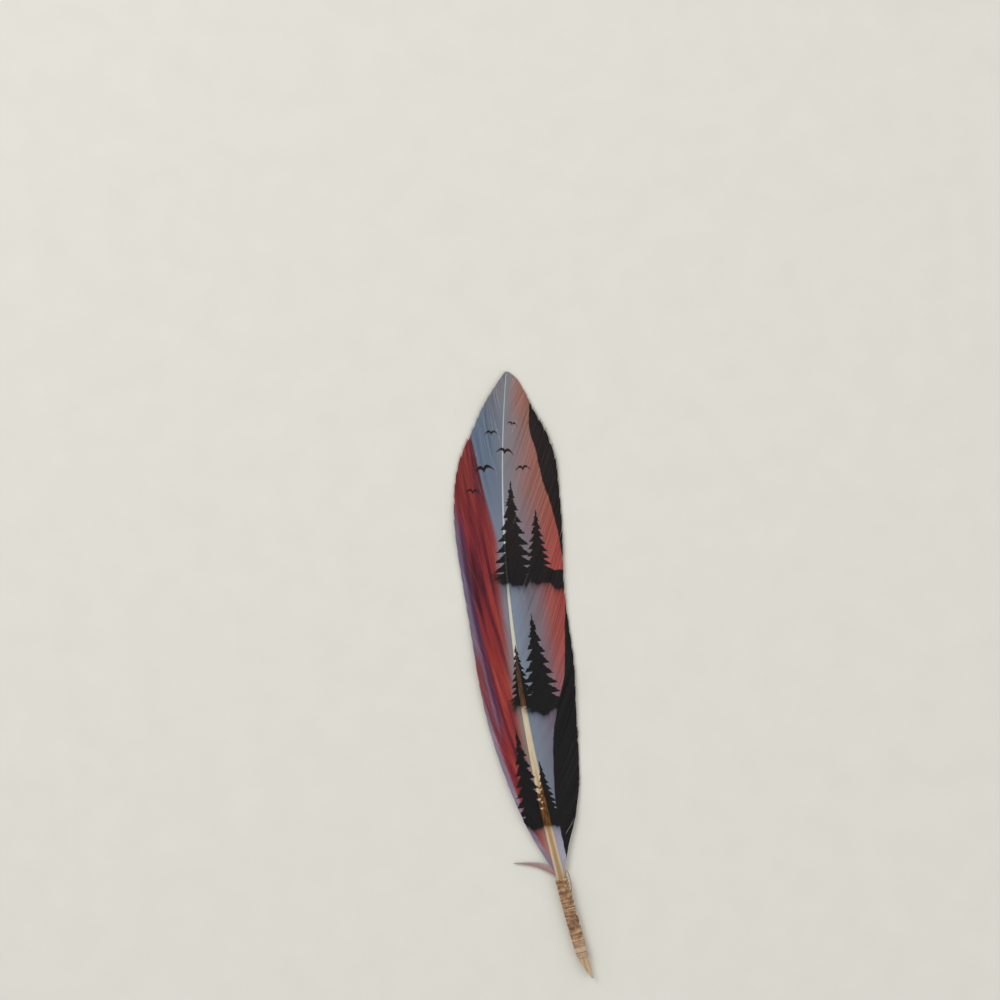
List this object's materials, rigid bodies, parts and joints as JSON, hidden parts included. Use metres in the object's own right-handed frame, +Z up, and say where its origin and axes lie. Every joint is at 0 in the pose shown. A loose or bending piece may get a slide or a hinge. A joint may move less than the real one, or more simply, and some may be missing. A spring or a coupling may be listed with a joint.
{
  "type": "turkey tail feather",
  "caption": "Printed tail feather lying flat, with cambered vanes of barbs, a tapering shaft and a thread-bound quill cut to a slanted point.",
  "frame": {"origin": "on the surface that the feather lies on, under the middle of the quill's binding", "axes": "+Z up, out of the printed face; +Y along the chord from the quill's end to the tip; +X across, to the wider vane"},
  "size_m": [0.0343, 0.187, 0.0038],
  "materials": {
    "printed_vane": "soft satin barbs, printed on the upper face",
    "thread": "matt twisted fibre"
  },
  "bodies": {
    "root": {"feather": "printed_vane", "quill_binding": "thread"}
  },
  "joints": []
}
